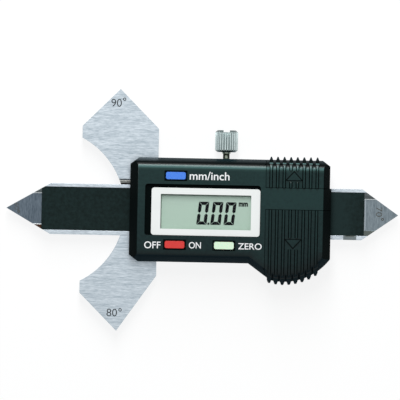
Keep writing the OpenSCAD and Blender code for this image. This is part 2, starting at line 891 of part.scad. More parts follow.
module cell_door() {
    gap = rib_w / 2;
    color([0.15, 0.18, 0.18]) difference() {
        union() {
            intersection() {
                form(0, plate_z);
                door_zone(0);
            }
            intersection() {
                form(-rib_h, plate_z);
                door_zone(0);
                for (x = ribs) {
                    rib(x, at_arrow(x) ? down_base + gap : house_low - far / 4, door_y);
                    if (at_arrow(x)) rib(x, house_low - far / 4, down_base - arrow_h - gap);
                }
            }
            intersection() {
                form(-tooth_h, plate_z);
                door_zone(0);
                for (x = ribs)
                    tooth(x, grip_edge(x), -1, lower_tooth, lower_tip);
            }
            arrow(down_base, -1);
        }
        form(cover_t, plate_z - lap);
    }
    color([0.15, 0.18, 0.18]) tongues(door_y - door_tongue - lap, door_y - lap, 0);
}

module port_cover() {
    gap = rib_w / 2;
    color([0.15, 0.18, 0.18]) difference() {
        union() {
            intersection() {
                form(0, plate_z);
                port_zone(0);
                box([-far, house_end - port_step, -far, far], 0, far);
            }
            intersection() {
                form(-rib_h, plate_z);
                port_zone(0);
                for (x = ribs) {
                    rib(x, at_arrow(x) ? up_base + arrow_h + gap : port_y, house_top + far / 4);
                    if (at_arrow(x)) rib(x, port_y, up_base - gap);
                }
            }
            intersection() {
                form(-tooth_h, plate_z);
                port_zone(0);
                for (x = ribs)
                    tooth(x, house_top, 1, upper_tooth, upper_tip);
            }
            arrow(up_base, 1);
        }
        form(cover_t, plate_z - lap);
    }
    color([0.15, 0.18, 0.18]) tongues(port_y + tongue, port_y + tongue + port_tongue, 0);
}

// Display

module display_bezel() {
    skirt_z = panel_z + panel_t / 2;
    color("white") difference() {
        union() {
            translate([0, 0, recess_z]) linear_extrude(flange_t) plate2d(flange, bezel_r);
            translate([0, 0, skirt_z])
                linear_extrude(recess_z + flange_t / 2 - skirt_z) plate2d(skirt, bezel_r);
        }
        linear_extrude(recess_z) plate2d(grown(panel, fit_gap), window_r);
        linear_extrude(far) plate2d(view, window_r);
    }
}

module display_window() {
    color([0.9, 0.95, 0.95, 0.3]) translate([0, 0, window_z])
        linear_extrude(window_t) plate2d(panel, window_r);
}

module lcd_panel() {
    color([0.68, 0.77, 0.71]) box(panel, panel_z, panel_z + panel_t);
}

module contact_strips() {
    color("pink") for (y = [panel[2] + fit_gap, panel[3] - fit_gap - zebra_w])
        box([view[0], view[1], y, y + zebra_w], board_top, panel_z);
}

// Keys

function key_area(g) = [-key_len / 2 - g, key_len / 2 + g, -key_h / 2 - g, key_h / 2 + g];

module key(place) {
    rim_top = ceiling_z - slide_gap;
    foot = board_top + dome_h + key_travel + fit_gap;
    translate([place.x, place.y, 0]) {
        translate([0, 0, foot]) linear_extrude(face_z + key_rise - foot) plate2d(key_area(0), key_r);
        translate([0, 0, rim_top - key_rim_t]) linear_extrude(key_rim_t) plate2d(key_area(key_rim), key_r);
    }
}

module unit_button() {
    color([0.31, 0.53, 0.94]) key(unit_key);
}

module power_button() {
    color([0.83, 0.25, 0.26]) key(power_key);
}

module zero_button() {
    color([0.84, 0.96, 0.86]) key(zero_key);
}

module key_domes() {
    color("gold") for (k = keys)
        translate([k.x, k.y, board_top]) cylinder(d1 = dome_d, d2 = dome_d / 2, h = dome_h);
}

// Board, cell and port

module main_board() {
    color("darkgreen") box([-board_left, board_end, -board_h / 2, board_h / 2], plate_z, board_top);
}

module chip_cap() {
    r = chip_d / 2;
    ball = (r * r + chip_h * chip_h) / (2 * chip_h);
    color("black") intersection() {
        translate([(view[0] + view[1]) / 2, -view_drop, board_top + chip_h - ball]) sphere(r = ball);
        box([-far, far, -far, far], board_top, far);
    }
}

module button_cell() {
    r = cell_d / 2;
    rim = cell_d / 12;
    color("silver") translate([cell_mid, -cell_y, cell_z]) rotate_extrude()
        polygon([
            [0, 0],
            [r - 2 * rim, 0],
            [r - 1.5 * rim, rim / 2],
            [r - rim / 2, rim / 2],
            [r, rim],
            [r, cell_t - rim / 3],
            [r - rim / 3, cell_t],
            [0, cell_t]
        ]);
}

module cell_spring() {
    reach = cell_d / 2 - cell_d / 6;
    t = contact_t;
    color("goldenrod") translate([cell_mid, contact_w / 2 - cell_y, board_top])
        rotate([90, 0, 0]) linear_extrude(contact_w)
        polygon([
            [-reach, 0],
            [-reach / 2, 0],
            [-reach / 4, spring_rise],
            [reach / 4, spring_rise],
            [reach / 2, 0],
            [reach, 0],
            [reach, t],
            [reach / 2, t],
            [reach / 4, spring_rise + t],
            [-reach / 4, spring_rise + t],
            [-reach / 2, t],
            [-reach, t]
        ]);
}

module cell_clip() {
    x = cell_mid + cell_d / 2 + slide_gap;
    y = [-cell_y - contact_w / 2, contact_w / 2 - cell_y];
    color("goldenrod") {
        box([x, x + contact_t, y[0], y[1]], board_top, cell_z + cell_t - clip_drop);
        box([x, x + 3 * contact_t, y[0], y[1]], board_top, board_top + contact_t);
    }
}

function socket_area() = [
    socket_mid - socket_len / 2,
    socket_mid + socket_len / 2,
    socket_y - socket_w / 2,
    socket_y + socket_w / 2
];

function port_pins_x() = [for (i = [0 : pin_count - 1]) socket_mid + (i - (pin_count - 1) / 2) * pin_pitch];

module data_port() {
    hole = socket_w / 2 - socket_wall;
    color("black") difference() {
        box(socket_area(), board_top, board_top + socket_h);
        for (x = port_pins_x())
            box([x - port_pin_w, x + port_pin_w, socket_y - hole, socket_y + hole], board_top - lap, far);
    }
}

module port_pins() {
    low = socket_y - socket_w / 2 + socket_wall;
    top = board_top + socket_h - pin_drop;
    color("gold") for (x = port_pins_x())
        box([x - port_pin_w / 2, x + port_pin_w / 2, low, low + port_pin_w], board_top, top);
}

beam();
scale_strip();
beam_label();
slider_frame();
gib_strip();
gib_screws();
stop_pin();
lock_pad();
lock_screw();
front_housing();
housing_screws();
display_bezel();
display_window();
lcd_panel();
contact_strips();
main_board();
chip_cap();
key_domes();
unit_button();
power_button();
zero_button();
button_cell();
cell_spring();
cell_clip();
cell_door();
port_cover();
data_port();
port_pins();
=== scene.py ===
"""Looks of the digital weld gauge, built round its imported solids."""
import math

import bmesh
import bpy
from mathutils import Matrix, Vector


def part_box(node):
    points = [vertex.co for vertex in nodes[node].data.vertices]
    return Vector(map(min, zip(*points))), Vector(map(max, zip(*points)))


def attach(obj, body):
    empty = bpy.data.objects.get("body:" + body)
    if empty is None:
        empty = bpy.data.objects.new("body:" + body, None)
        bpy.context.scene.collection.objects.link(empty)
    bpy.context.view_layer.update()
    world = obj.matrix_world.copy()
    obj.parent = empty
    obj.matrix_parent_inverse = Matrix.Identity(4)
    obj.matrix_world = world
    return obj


MM = 0.001
# Heights in millimetres: slider front, floor of the beam's channel
PLATE_TOP = 5.1
CHANNEL_FLOOR = 3.95
# Distances from the beam's axis in millimetres: inner side of the painted highlight along the floor's
# edge, side of the beam
FLOOR_EDGE = 4.78
BEAM_SIDE = 8.0
# Middle of the lock screw in X and Z
SCREW = (7.2, 3.75)
KEYS = ("unit_button", "power_button", "zero_button")
# Middle of the round grip in X and Y, and where it begins in X
GRIP = (25.8, -3.35)
GRIP_START = 16.0
# Grains to a metre in moulded plastic
MOULD_GRAIN = 5200.0
# Streaks to a metre in ground metal, across the grinding and along it
FINE_STREAKS = (5200.0, 620.0)
BROAD_STREAKS = (1900.0, 110.0)
# Stripes to a metre in a wave texture of scale 1
WAVE_STRIPES = 3.1831
# Sockets of the Mix node for colours, which share their names with those for numbers
MIX_FACTOR, MIX_A, MIX_B, MIX_RESULT = 0, 6, 7, 2

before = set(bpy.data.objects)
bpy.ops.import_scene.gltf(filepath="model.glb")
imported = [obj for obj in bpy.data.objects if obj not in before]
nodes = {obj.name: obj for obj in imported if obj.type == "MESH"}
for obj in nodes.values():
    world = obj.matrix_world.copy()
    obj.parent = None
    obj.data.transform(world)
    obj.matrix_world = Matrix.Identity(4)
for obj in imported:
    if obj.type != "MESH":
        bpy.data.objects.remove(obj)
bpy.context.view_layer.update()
LABEL_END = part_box("beam_label")[1].x / MM
scene = bpy.context.scene
scene.view_settings.view_transform = "Standard"


class Nodes:
    """A tree of nodes, which are added one at a time."""

    def __init__(self, tree):
        self.tree = tree

    def node(self, kind, inputs=None, **settings):
        made = self.tree.nodes.new("ShaderNode" + kind)
        for key, value in settings.items():
            setattr(made, key, value)
        for key, value in (inputs or {}).items():
            self.put(made.inputs[key], value)
        return made

    def put(self, socket, value):
        """Links a socket to another or sets its value."""
        if isinstance(value, bpy.types.NodeSocket):
            self.tree.links.new(value, socket)
        else:
            socket.default_value = value

    def math(self, operation, a, b=0.0):
        return self.node("Math", {0: a, 1: b}, operation=operation).outputs[0]

    def seen(self):
        """1 for what the camera sees, also by way of shiny or clear pieces."""
        path = self.node("LightPath").outputs
        indirect = self.math("MAXIMUM", path["Is Glossy Ray"], path["Is Transmission Ray"])
        return self.math("MAXIMUM", path["Is Camera Ray"], indirect)


class Graph(Nodes):
    """The nodes of a new material. Places are given in millimetres."""

    def __init__(self, name):
        self.material = bpy.data.materials.new(name)
        self.material.use_nodes = True
        super().__init__(self.material.node_tree)
        self.shader = self.tree.nodes["Principled BSDF"]
        self.places = self.node("TexCoord").outputs["Object"]

    def set(self, **values):
        """Sets inputs of the shader, named with underscores in place of spaces."""
        for key, value in values.items():
            self.put(self.shader.inputs[key.replace("_", " ")], value)

    def axis(self, letter):
        return self.node("SeparateXYZ", {0: self.places}).outputs[letter]

    def facing(self, letter):
        """How far a surface faces along an axis, from -1 to 1."""
        normal = self.node("TexCoord").outputs["Normal"]
        return self.node("SeparateXYZ", {0: normal}).outputs[letter]

    def all(self, *masks):
        """The product of some masks."""
        total = masks[0]
        for mask in masks[1:]:
            total = self.math("MULTIPLY", total, mask)
        return total

    def inverse(self, mask):
        return self.math("SUBTRACT", 1.0, mask)

    def above(self, letter, low):
        """1 where a coordinate is more than a value."""
        return self.math("GREATER_THAN", self.axis(letter), low * MM)

    def below(self, letter, high):
        """1 where a coordinate is less than a value."""
        return self.math("LESS_THAN", self.axis(letter), high * MM)

    def between(self, letter, low, high):
        """1 where a coordinate lies between two values."""
        return self.all(self.above(letter, low), self.below(letter, high))

    def distance(self, letters, a, b):
        """Distance from a line along the third axis, through a point of the other two."""
        total = 0.0
        for letter, middle in zip(letters, (a, b)):
            off = self.math("SUBTRACT", self.axis(letter), middle * MM)
            total = self.math("ADD", self.math("MULTIPLY", off, off), total)
        return self.math("SQRT", total)

    def noise(self, scale, detail=3.0, roughness=0.6):
        """Noise with so many grains to a metre, the same on each axis or one number for each."""
        if isinstance(scale, float):
            scale = (scale, scale, scale)
        place = self.node("Mapping", {"Vector": self.places, "Scale": scale}).outputs[0]
        inputs = {"Vector": place, "Scale": 1.0, "Detail": detail, "Roughness": roughness}
        return self.node("TexNoise", inputs).outputs[0]

    def bands(self, axis, period):
        """Stripes across an axis, one each period."""
        inputs = {"Vector": self.places, "Scale": 1 / (period * MM * WAVE_STRIPES)}
        return self.node("TexWave", inputs, bands_direction=axis).outputs["Fac"]

    def span(self, value, low, high, from_low=0.0, from_high=1.0):
        """Runs from low to high while a value runs from from_low to from_high."""
        inputs = {
            "Value": value,
            "From Min": from_low,
            "From Max": from_high,
            "To Min": low,
            "To Max": high,
        }
        return self.node("MapRange", inputs).outputs[0]

    def ramp(self, letter, start, end, low=0.0, high=1.0):
        """Runs from low to high between two places on an axis."""
        return self.span(self.axis(letter), low, high, start * MM, end * MM)

    def share(self, a, b, part):
        """The sum of two values, the first weighted by part and the second by the rest."""
        return self.math("ADD", self.math("MULTIPLY", a, part), self.math("MULTIPLY", b, 1 - part))

    def mix(self, factor, a, b):
        inputs = {MIX_FACTOR: factor, MIX_A: a, MIX_B: b}
        return self.node("Mix", inputs, data_type="RGBA").outputs[MIX_RESULT]

    def bump(self, height, strength, depth):
        inputs = {"Height": height, "Strength": strength, "Distance": depth * MM}
        normal = self.node("Bump", inputs).outputs[0]
        self.set(Normal=normal)
        return normal


def tone(red, green, blue):
    """A colour as a screen shows it, from 0 to 255, in linear light."""
    linear = []
    for value in (red, green, blue):
        v = value / 255
        linear.append(v / 12.92 if v <= 0.04045 else ((v + 0.055) / 1.055) ** 2.4)
    return (*linear, 1.0)


def brushed(graph, dark, light, along):
    """Colour and streaks of metal that is ground along an axis."""
    layers = []
    for across_grain, along_grain in (FINE_STREAKS, BROAD_STREAKS):
        scale = [across_grain] * 3
        scale["XYZ".index(along)] = along_grain
        layers.append(graph.noise(scale, 2.0))
    streaks = graph.share(*layers, 0.66)
    return graph.mix(graph.span(streaks, 0.0, 1.0, 0.34, 0.66), dark, light), streaks


def steel(name, dark, light, along="X", rough=0.34):
    """Metal that is ground along an axis."""
    g = Graph(name)
    colour, streaks = brushed(g, dark, light, along)
    g.set(Base_Color=colour, Metallic=1.0, Roughness=g.span(streaks, rough - 0.08, rough + 0.1))
    g.bump(streaks, 0.25, 0.01)
    return g.material


def beam_steel():
    """Bright rails, darker shelves and a floor that is ground across."""
    g = Graph("beam_ground_steel")
    rail, streaks = brushed(g, tone(146, 157, 166), tone(196, 205, 212), "X")
    right, marks = brushed(g, tone(91, 102, 109), tone(122, 133, 139), "Y")
    left, _ = brushed(g, tone(68, 79, 89), tone(98, 109, 119), "Y")
    shelf, _ = brushed(g, tone(66, 72, 73), tone(89, 95, 97), "X")
    at_left = g.below("X", 0.0)
    at_foot = g.below("Y", 0.0)
    shelf = g.mix(g.all(at_left, at_foot), shelf, tone(58, 38, 27))
    shelf = g.mix(g.all(g.inverse(at_left), at_foot), shelf, tone(82, 89, 86))
    # The floor has a paler line beside the label and bright edges, both painted highlights
    line = g.between("X", LABEL_END + 0.1, LABEL_END + 0.5)
    floor = g.mix(line, g.mix(at_left, right, left), tone(144, 154, 161))
    upper_edge_highlight = g.between("Y", FLOOR_EDGE, BEAM_SIDE)
    lower_edge_highlight = g.all(at_left, g.between("Y", -BEAM_SIDE, -FLOOR_EDGE))
    floor = g.mix(g.math("MAXIMUM", upper_edge_highlight, lower_edge_highlight), floor, tone(206, 212, 214))
    # The lower rail is duller near the right tip
    dull = g.all(g.between("X", 44.4, 48.6), g.between("Y", -8.1, -6.6), g.between("Z", 4.7, 5.04))
    rail = g.mix(dull, rail, tone(104, 113, 115))
    ledge = g.all(g.between("Z", 4.4, 4.9), g.between("Y", -7.0, 7.0))
    deep = g.between("Z", 3.9, 4.0)
    colour = g.mix(deep, g.mix(ledge, rail, shelf), floor)
    grain = g.math("ADD", g.all(deep, marks), g.all(g.inverse(deep), streaks))
    g.set(Base_Color=colour, Metallic=1.0, Roughness=g.span(grain, 0.28, 0.46))
    g.bump(grain, 0.3, 0.012)
    return g.material


def plastic(name, dark, light, rough=0.5, grain=0.012, gloss=0.25):
    """Moulded plastic with a fine grain and faint clouds."""
    g = Graph(name)
    grains = g.noise(MOULD_GRAIN, 2.0, 0.5)
    blend = g.share(grains, g.noise(140.0), 0.55)
    g.set(Base_Color=g.mix(g.span(blend, 0.0, 1.0, 0.3, 0.7), dark, light))
    g.set(Roughness=g.span(grains, rough - 0.1, rough + 0.12), Specular_IOR_Level=gloss)
    g.bump(grains, 0.5, grain)
    return g.material


def case_plastic(name, lift=0.0):
    """Black plastic, satin on its face, shiny on its upper rounded edge and matt elsewhere.

    Towards the grip the face is lighter by lift.
    """
    g = Graph(name)
    grains = g.noise(MOULD_GRAIN, 2.0, 0.5)
    # The face grows lighter upwards as painted light, has a painted sheen along its upper edge and
    # painted shade along its foot
    mottle = g.span(g.noise(950.0), 0.0, 0.45, 0.3, 0.7)
    upward_light = g.ramp("Y", -19, 7, 0.0, 0.55)
    blend = g.math("ADD", g.math("ADD", mottle, upward_light), g.ramp("X", 14, 24, 0.0, lift))
    satin = g.mix(blend, (0.0002, 0.0075, 0.009, 1.0), (0.0085, 0.031, 0.03, 1.0))
    # Painted sheen below the upper rounded edge, brightest where the face meets it as a painted highlight
    satin = g.mix(g.ramp("Y", 12.7, 15.2), satin, (0.045, 0.105, 0.095, 1.0))
    satin = g.mix(g.ramp("Y", 13.4, 13.9), satin, (0.08, 0.17, 0.165, 1.0))
    # Painted shade along the foot, straight and round the grip
    foot = g.all(g.ramp("Y", -14.4, -11.8, 1.0, 0.0), g.below("X", GRIP_START))
    round_foot_shade = g.span(g.distance("XY", *GRIP), 0.0, 1.0, 12.5 * MM, 16.6 * MM)
    round_foot_shade = g.all(round_foot_shade, g.between("Y", -30.0, -12.0), g.above("X", GRIP_START))
    satin = g.mix(g.math("MAXIMUM", foot, round_foot_shade), satin, (0.0006, 0.0035, 0.0044, 1.0))
    # The sides take a darker colour than the face, painted shade; the lower side is lighter than the
    # others, painted light, and the foot of the upper side has a faint bluish tint, a painted reflection
    faces_down = g.span(g.facing("Y"), 1.0, 0.0, -0.4, -0.05)
    matt = g.mix(faces_down, (0.0016, 0.0036, 0.0036, 1.0), (0.007, 0.0158, 0.0205, 1.0))
    foot_of_side = g.ramp("Z", 9.1, 12.2, 1.0, 0.0)
    # Bluish painted reflection on the foot of the upper side
    painted_reflection = g.all(foot_of_side, g.span(g.facing("Y"), 0.0, 1.0, 0.5, 0.9))
    matt = g.mix(painted_reflection, matt, (0.005, 0.018, 0.024, 1.0))
    # The satin leaves out the rounded edges and a ring round each key, which takes the darker matt colour
    # as painted shade
    key_ring_shade = 0.0
    for key in KEYS:
        low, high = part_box(key)
        key_ring = g.all(g.between("X", low.x / MM, high.x / MM), g.between("Y", low.y / MM, high.y / MM))
        key_ring_shade = g.math("MAXIMUM", key_ring, key_ring_shade)
    face = g.span(g.facing("Z"), 0.0, 1.0, 0.8, 0.98)
    face = g.all(face, g.inverse(key_ring_shade), g.between("Z", 13.0, 20.0))
    # The coat is strongest on the upper rounded edge
    slim = g.span(g.math("ABSOLUTE", g.facing("X")), 1.0, 0.0, 0.3, 0.5)
    rounded = g.span(g.facing("Z"), 0.0, 1.0, 0.5, 0.65)
    edge = g.all(slim, g.span(g.facing("Y"), 0.0, 0.68, 0.06, 0.2), rounded)
    gleam = g.all(slim, g.span(g.facing("Y"), 0.0, 0.3, 0.7, 0.9), foot_of_side)
    coat = g.math("MAXIMUM", g.math("MULTIPLY", face, 0.36), g.math("MAXIMUM", edge, gleam))
    g.set(Base_Color=g.mix(face, matt, satin), Roughness=g.span(grains, 0.75, 0.95))
    g.set(Specular_IOR_Level=0.03, Coat_Weight=coat, Coat_Roughness=0.28, Coat_IOR=1.45)
    g.set(Coat_Normal=g.bump(grains, 0.5, 0.012))
    return g.material


def label_film():
    """Printed film, a little lighter right of the case and darker at its right end."""
    g = Graph("label_black")
    mottle = g.noise(850.0)
    along = g.math("SUBTRACT", g.ramp("X", 10, 41, -0.05, 0.75), g.ramp("X", 42, 51, 0.0, 0.95))
    blend = g.math("ADD", g.span(mottle, 0.0, 0.8, 0.3, 0.7), along)
    g.set(Base_Color=g.mix(blend, (0.0005, 0.0065, 0.006, 1.0), (0.0095, 0.0235, 0.0235, 1.0)))
    g.set(Roughness=g.span(mottle, 0.5, 0.72), Specular_IOR_Level=0.12)
    g.bump(mottle, 0.4, 0.006)
    return g.material


def rubber_key(name, dark, light):
    """Soft rubber that lets a little light in."""
    g = Graph(name)
    grains = g.noise(2400.0)
    g.set(Base_Color=g.mix(g.span(grains, 0.0, 1.0, 0.3, 0.7), dark, light))
    g.set(Roughness=g.span(grains, 0.38, 0.55), Subsurface_Weight=0.08, Subsurface_Scale=0.0006)
    g.bump(grains, 0.2, 0.008)
    return g.material


def circuit(name, base, track, period):
    """Coated board with rows of broken tracks."""
    g = Graph(name)
    rows = g.math("GREATER_THAN", g.bands("Y", period), 0.68)
    runs = g.math("GREATER_THAN", g.noise((160.0, 900.0, 900.0), 0.0), 0.46)
    tracks = g.all(rows, runs)
    coating = g.noise(900.0, 2.0)
    darker = [0.75 * c for c in base[:3]] + [1.0]
    ground = g.mix(g.span(coating, 0.0, 1.0, 0.35, 0.65), base, darker)
    g.set(Base_Color=g.mix(tracks, ground, track), Roughness=g.span(coating, 0.3, 0.5))
    g.bump(tracks, 0.5, 0.03)
    return g.material


def display():
    """Grey-green liquid crystal, a little darker towards its lower edge, lightened near its upper edge by
    painted light against the bezel's shadow, with lines of painted shade along its upper and left edges.
    """
    g = Graph("panel_crystal")
    cells = g.noise(3000.0, 1.0)
    fade = g.share(g.ramp("Y", -6, 6), cells, 0.7)
    # Painted light near the upper edge, against the bezel's shadow
    fade = g.math("ADD", fade, g.ramp("Y", 2, 5, 0.0, 1.6))
    glass = g.mix(fade, tone(181, 208, 191), tone(191, 216, 201))
    # Painted shade along the upper and left edges, where the bezel's inner wall lies in shadow
    edge_shade = g.math("MAXIMUM", g.between("Y", 4.9, 8.0), g.between("X", -16.0, -12.8))
    g.set(Base_Color=g.mix(edge_shade, glass, tone(104, 124, 112)), Roughness=g.span(cells, 0.4, 0.5))
    return g.material


def clear_window():
    """Clear acrylic with a faint tint."""
    g = Graph("window_acrylic")
    faint = g.noise(700.0, 2.0)
    tint = g.mix(faint, (0.1, 0.115, 0.11, 1.0), (0.14, 0.155, 0.15, 1.0))
    g.set(Base_Color=tint, Roughness=g.span(faint, 0.03, 0.08), Alpha=0.035)
    return g.material


def striped_rubber():
    """Silicone whose dark core carries current in thin layers."""
    g = Graph("strip_silicone")
    core = g.all(g.math("GREATER_THAN", g.bands("X", 0.3), 0.5), g.between("Z", 6.0, 9.9))
    soft = g.noise(1500.0, 2.0)
    pink = g.mix(soft, tone(214, 150, 150), tone(228, 170, 168))
    g.set(Base_Color=g.mix(core, pink, tone(70, 52, 54)), Roughness=g.span(soft, 0.5, 0.7))
    g.bump(soft, 0.2, 0.01)
    return g.material


def knob_nickel():
    """Plated knob with painted shade in its flutes and on its ends, on a dark turned neck with painted
    highlight lines.
    """
    g = Graph("knob_nickel")
    plated, streaks = brushed(g, tone(176, 192, 192), tone(222, 236, 236), "Y")
    turned, rings = brushed(g, tone(34, 38, 32), tone(60, 66, 54), "X")
    # Painted shade in the flutes
    crests = g.span(g.distance("XZ", *SCREW), 0.0, 1.0, 3.36 * MM, 3.58 * MM)
    plated = g.mix(crests, tone(120, 133, 133), plated)
    # Painted shade on the ends
    ends = g.span(g.math("ABSOLUTE", g.facing("Y")), 0.0, 1.0, 0.3, 0.6)
    plated = g.mix(ends, plated, tone(104, 117, 117))
    # Painted highlights on the neck: a glint in the middle and a bright ring
    glint = g.all(g.between("X", SCREW[0] - 0.4, SCREW[0] + 0.4), g.between("Y", 16.9, 17.8))
    bright = g.math("MAXIMUM", glint, g.between("Y", 18.3, 18.8))
    turned = g.mix(bright, turned, tone(150, 160, 146))
    neck = g.below("Y", 18.75)
    g.set(Base_Color=g.mix(neck, plated, turned), Metallic=1.0, Roughness=g.span(streaks, 0.2, 0.36))
    g.bump(g.math("ADD", streaks, g.all(neck, rings)), 0.25, 0.01)
    return g.material


def gib_steel():
    """A grey bar whose upper chamfer has a painted highlight and whose lower one painted shade."""
    g = Graph("gib_grey")
    colour, streaks = brushed(g, tone(84, 86, 84), tone(112, 115, 112), "X")
    # Painted highlight on the upper chamfer, then painted shade on the lower one
    colour = g.mix(g.between("Y", 9.2, 9.6), colour, tone(160, 161, 157))
    colour = g.mix(g.between("Y", 8.0, 8.5), colour, tone(46, 43, 40))
    g.set(Base_Color=colour, Metallic=1.0, Roughness=g.span(streaks, 0.32, 0.5))
    g.bump(streaks, 0.25, 0.01)
    return g.material


def ink(name, dark, light, gloss=0.3):
    """Print or paint that is a little uneven."""
    g = Graph(name)
    grain = g.noise(2600.0, 2.0)
    g.set(Base_Color=g.mix(grain, dark, light), Roughness=g.span(grain, 0.45, 0.65))
    g.set(Specular_IOR_Level=gloss)
    g.bump(grain, 0.2, 0.004)
    return g.material


cover = case_plastic("cover_satin_black")
dark_steel = steel("screw_oxide_steel", tone(70, 72, 74), tone(120, 123, 125), rough=0.4)
gold = steel("contact_gilt", tone(196, 158, 84), tone(232, 200, 124), rough=0.3)

LOOKS = {
    "beam": beam_steel(),
    "scale_strip": circuit("scale_board", tone(96, 120, 66), tone(206, 140, 84), period=1.27),
    "beam_label": label_film(),
    "slider_frame": steel("plate_brushed_steel", tone(148, 161, 170), tone(195, 204, 211)),
    "gib_strip": gib_steel(),
    "gib_screws": dark_steel,
    "stop_pin": dark_steel,
    "lock_pad": steel("pad_brass", tone(176, 140, 70), tone(216, 184, 112), along="Y", rough=0.36),
    "lock_screw": knob_nickel(),
    "front_housing": case_plastic("case_satin_black", lift=0.26),
    "housing_screws": dark_steel,
    "display_bezel": plastic(
        "bezel_gloss_white",
        tone(243, 247, 245),
        tone(250, 253, 252),
        rough=0.3,
        grain=0.003,
        gloss=0.3,
    ),
    "display_window": clear_window(),
    "lcd_panel": display(),
    "contact_strips": striped_rubber(),
    "main_board": circuit("board_green", tone(22, 84, 48), tone(70, 132, 84), period=0.9),
    "chip_cap": plastic(
        "chip_epoxy",
        (0.006, 0.006, 0.007, 1.0),
        (0.016, 0.016, 0.018, 1.0),
        rough=0.28,
        grain=0.02,
        gloss=0.5,
    ),
    "key_domes": gold,
    "unit_button": rubber_key("key_blue", tone(58, 122, 230), tone(72, 138, 242)),
    "power_button": rubber_key("key_red", tone(209, 41, 36), tone(221, 53, 47)),
    "zero_button": rubber_key("key_green", tone(220, 252, 217), tone(232, 255, 228)),
    "button_cell": steel("cell_steel", tone(176, 180, 182), tone(222, 225, 226), rough=0.25),
    "cell_spring": gold,
    "cell_clip": gold,
    "cell_door": cover,
    "port_cover": cover,
    "data_port": plastic("port_black", (0.008, 0.008, 0.009, 1.0), (0.018, 0.018, 0.02, 1.0), rough=0.45),
    "port_pins": gold,
}
# Width of the softened edges in millimetres
EDGES = {
    "front_housing": 0.14,
    "display_bezel": 0.1,
    "beam": 0.06,
    "slider_frame": 0.08,
    "lock_screw": 0.05,
}
OTHER_EDGES = 0.07
# Vertices nearer than this, in metres, become one
WELD_GAP = 2e-6
# Faces that differ by less than the first angle become one, and edges above the second are softened
FLAT_ANGLE = math.radians(0.4)
SHARP_ANGLE = math.radians(32)


def dress(name):
    """Gives a solid its material and softens its sharp edges."""
    part = nodes[name]
    part.material_slots[0].material = LOOKS[name]
    weld = part.modifiers.new("weld", "WELD")
    weld.merge_threshold = WELD_GAP
    flat = part.modifiers.new("flat", "DECIMATE")
    flat.decimate_type = "DISSOLVE"
    flat.angle_limit = FLAT_ANGLE
    bevel = part.modifiers.new("bevel", "BEVEL")
    bevel.width = EDGES.get(name, OTHER_EDGES) * MM
    bevel.segments = 2
    bevel.limit_method = "ANGLE"
    bevel.angle_limit = SHARP_ANGLE
    part.modifiers.new("normals", "WEIGHTED_NORMAL")


for name in LOOKS:
    dress(name)


def piece(name, mesh, material, body):
    """Adds a mesh to the scene as a piece of the object."""
    made = bpy.data.objects.new(name, mesh)
    scene.collection.objects.link(made)
    mesh.materials.clear()
    mesh.materials.append(material)
    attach(made, body)


def prisms(name, outlines, layer):
    """A mesh of upright prisms over outlines, between two heights in millimetres."""
    low, high = layer
    bm = bmesh.new()
    for points in outlines:
        face = bm.faces.new([bm.verts.new((x * MM, y * MM, low * MM)) for x, y in points])
        grown = bmesh.ops.extrude_face_region(bm, geom=[face])["geom"]
        moved = [v for v in grown if isinstance(v, bmesh.types.BMVert)]
        bmesh.ops.translate(bm, verts=moved, vec=(0, 0, (high - low) * MM))
    bmesh.ops.recalc_face_normals(bm, faces=bm.faces)
    mesh = bpy.data.meshes.new(name)
    bm.to_mesh(mesh)
    bm.free()
    return mesh


def words(name, text, area, layer, weight, turn=0.0):
    """Text that fills an area [left, right, bottom, top] between two heights in millimetres.

    It is first turned by so many degrees. Weight makes its strokes thicker.
    """
    half_depth = 0.5
    curve = bpy.data.curves.new(name, "FONT")
    curve.body = text
    curve.extrude = half_depth
    curve.offset = weight
    source = bpy.data.objects.new(name + "_source", curve)
    scene.collection.objects.link(source)
    evaluated = source.evaluated_get(bpy.context.evaluated_depsgraph_get())
    mesh = bpy.data.meshes.new_from_object(evaluated)
    bpy.data.objects.remove(source)
    mesh.transform(Matrix.Rotation(math.radians(turn), 4, "Z"))
    for axis, (low, high) in enumerate((area[:2], area[2:], layer)):
        values = [v.co[axis] for v in mesh.vertices]
        first, last = min(values), max(values)
        for v, value in zip(mesh.vertices, values):
            v.co[axis] = (low + (value - first) / (last - first) * (high - low)) * MM
    mesh.name = name
    return mesh


white_ink = ink("lettering_white", tone(248, 250, 252), tone(254, 255, 255))
engraving = ink("engraving_dark", tone(40, 44, 48), tone(66, 71, 75), gloss=0.15)
etching = ink("etching_grey", tone(58, 58, 54), tone(98, 98, 92), gloss=0.1)
crystal = ink("segment_black", tone(3, 5, 10), tone(8, 11, 17), gloss=0.0)
# Black for the painted shade lines round the raised arrows
arrow_shade_ink = ink("arrow_shade_black", tone(6, 9, 9), tone(12, 17, 17), gloss=0.02)

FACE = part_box("front_housing")[1].z / MM
PRINT = (FACE - 0.02, FACE + 0.02)
for name, text, area in (
    ("word_unit", "mm/inch", (-4.17, 8.35, 9.92, 12.5)),
    ("word_off", "OFF", (-18.02, -12.9, -11.85, -9.68)),
    ("word_on", "ON", (-3.99, -0.21, -11.63, -9.62)),
    ("word_zero", "ZERO", (11.45, 18.87, -11.63, -9.65)),
):
    piece(name, words(name, text, area, PRINT, 0.009), white_ink, "slider")


def degree(name, middle, radius, layer):
    """A flat ring, for a degree sign."""
    steps = 24
    half_line = 0.13
    inner, outer = radius - half_line, radius + half_line
    x, y = middle
    outlines = []
    for k in range(steps):
        a, b = (2 * math.pi * i / steps for i in (k, k + 1))
        corners = [(outer, a), (outer, b), (inner, b), (inner, a)]
        outlines.append([(x + d * math.cos(t), y + d * math.sin(t)) for d, t in corners])
    return prisms(name, outlines, layer)


def mark(name, text, area, ring, cut):
    """The figures of an angle and its degree sign, cut into steel."""
    figures = words(name, text, area, cut["layer"], cut["weight"], cut["turn"])
    piece(name, figures, cut["look"], cut["body"])
    sign = degree(name + "_degree", ring, cut["radius"], cut["layer"])
    piece(name + "_degree", sign, cut["look"], cut["body"])


